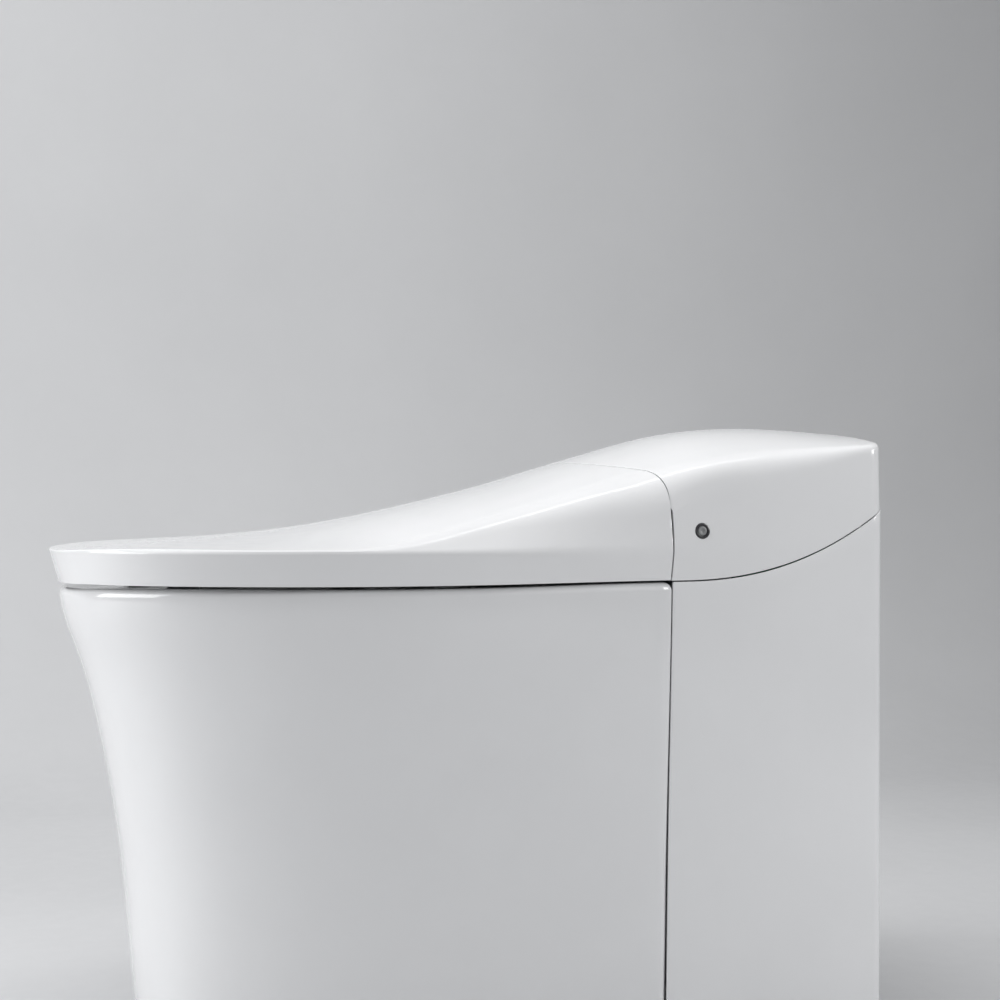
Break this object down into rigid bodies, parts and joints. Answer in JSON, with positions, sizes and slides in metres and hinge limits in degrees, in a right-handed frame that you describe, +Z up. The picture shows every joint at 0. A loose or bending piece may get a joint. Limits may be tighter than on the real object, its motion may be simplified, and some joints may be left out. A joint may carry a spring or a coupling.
{
  "type": "smart toilet with heated seat",
  "caption": "One-piece skirted toilet with hinged lid and heated seat, spray wand, warm-air dryer and rear machinery housing.",
  "frame": {"origin": "on the floor under the middle of the bounding box", "axes": "+Z up, -Y towards the user at the front, +Y towards the wall, +X to the right seen from the front looking back"},
  "size_m": [0.42, 0.71, 0.5343],
  "materials": {
    "china": "gloss glaze",
    "white_plastic": "high gloss",
    "light_grey_plastic": "satin",
    "dark_plastic": "satin",
    "dark_ring": "gloss",
    "button_grey": "gloss",
    "smoked_window": "gloss",
    "frosted_window": "frosted",
    "zinc": "cast",
    "steel": "satin",
    "nickel_brass": "plated",
    "heater_foil": "foil",
    "board_green": "satin",
    "black_rubber": "matte",
    "black_foam": "matte",
    "soft_bumper": "matte"
  },
  "bodies": {
    "pan": {"blower_case": "dark_plastic", "bracket_screws": "steel", "button_bezel": "dark_ring", "button_spring": "steel", "cable_gland": "dark_plastic", "carbon_filter": "black_foam", "chassis_plate": "light_grey_plastic", "chassis_screws": "steel", "china_base": "china", "china_bowl": "china", "china_outlet": "china", "china_trap": "china", "control_board": "board_green", "deodoriser_case": "light_grey_plastic", "dryer_duct": "light_grey_plastic", "flush_hose": "black_rubber", "hinge_bracket_left": "zinc", "hinge_bracket_right": "zinc", "housing_cover": "white_plastic", "housing_fascia": "white_plastic", "inlet_filter": "steel", "inlet_nipple": "nickel_brass", "inlet_valve": "dark_plastic", "lid_drive": "dark_plastic", "night_light_lens": "frosted_window", "outlet_gasket": "black_rubber", "power_supply": "dark_plastic", "presence_sensor": "smoked_window", "pump_body": "dark_plastic", "rear_panel": "light_grey_plastic", "reservoir": "light_grey_plastic", "seat_drive": "dark_plastic", "side_panel_left": "white_plastic", "side_panel_right": "white_plastic", "supply_hose": "black_rubber", "wand_guide": "light_grey_plastic", "wand_motor": "steel", "water_heater": "zinc"},
    "seat": {"seat_top": "white_plastic", "seat_base": "white_plastic", "seat_heater": "heater_foil", "seat_bumpers": "soft_bumper", "seat_arm_left": "white_plastic", "seat_arm_right": "white_plastic", "seat_drive_shaft": "steel"},
    "lid": {"lid_shell": "white_plastic", "lid_liner": "white_plastic", "lid_bumpers": "soft_bumper", "lid_arm_left": "white_plastic", "lid_arm_right": "white_plastic", "lid_drive_shaft": "steel"},
    "wand": {"spray_wand": "steel", "wand_tip": "white_plastic", "wand_rack": "white_plastic"},
    "pinion": {"wand_pinion": "light_grey_plastic"},
    "flap": {"dryer_flap": "white_plastic"},
    "blower": {"blower_rotor": "dark_plastic"},
    "odour_fan": {"deodoriser_rotor": "dark_plastic"},
    "pump_wheel": {"pump_rotor": "dark_plastic"},
    "button": {"button_cap": "button_grey"}
  },
  "joints": [
    {"name": "seat_hinge", "type": "hinge", "parent": "pan", "child": "seat", "pos_m": [0, 0.184, 0.476], "axis": [-1, 0, 0], "range_deg": [0, 98]},
    {"name": "lid_hinge", "type": "hinge", "parent": "seat", "child": "lid", "pos_m": [0, 0.184, 0.476], "axis": [1, 0, 0], "range_deg": [-100, 0]},
    {"name": "wand_slide", "type": "slide", "parent": "pan", "child": "wand", "axis": [0, -0.9063, -0.4226], "range_m": [0, 0.11]},
    {"name": "pinion_spin", "type": "hinge", "parent": "pan", "child": "pinion", "pos_m": [0, 0.22101, 0.43766], "axis": [1, 0, 0], "range_deg": [-800, 800]},
    {"name": "button_press", "type": "slide", "parent": "pan", "child": "button", "axis": [-1, 0, 0], "range_m": [0, 0.0015], "stiffness_N_per_m": 300, "deforming": ["button_spring"]},
    {"name": "flap_hinge", "type": "hinge", "parent": "pan", "child": "flap", "pos_m": [-0.05, 0.11275, 0.3813], "axis": [-1, 0, 0], "range_deg": [0, 60], "stiffness_Nm_per_rad": 0.01},
    {"name": "blower_spin", "type": "hinge", "parent": "pan", "child": "blower", "pos_m": [-0.088, 0.205, 0.358], "axis": [0, 0, 1], "continuous": true},
    {"name": "odour_fan_spin", "type": "hinge", "parent": "pan", "child": "odour_fan", "pos_m": [0.053, 0.149, 0.36], "axis": [0, 1, 0], "continuous": true},
    {"name": "pump_spin", "type": "hinge", "parent": "pan", "child": "pump_wheel", "pos_m": [-0.152, 0.262, 0.083], "axis": [0, 0, 1], "continuous": true}
  ],
  "couplings": [
    {"joint": "pinion_spin", "follows": "wand_slide", "rad_per_m": -125}
  ]
}
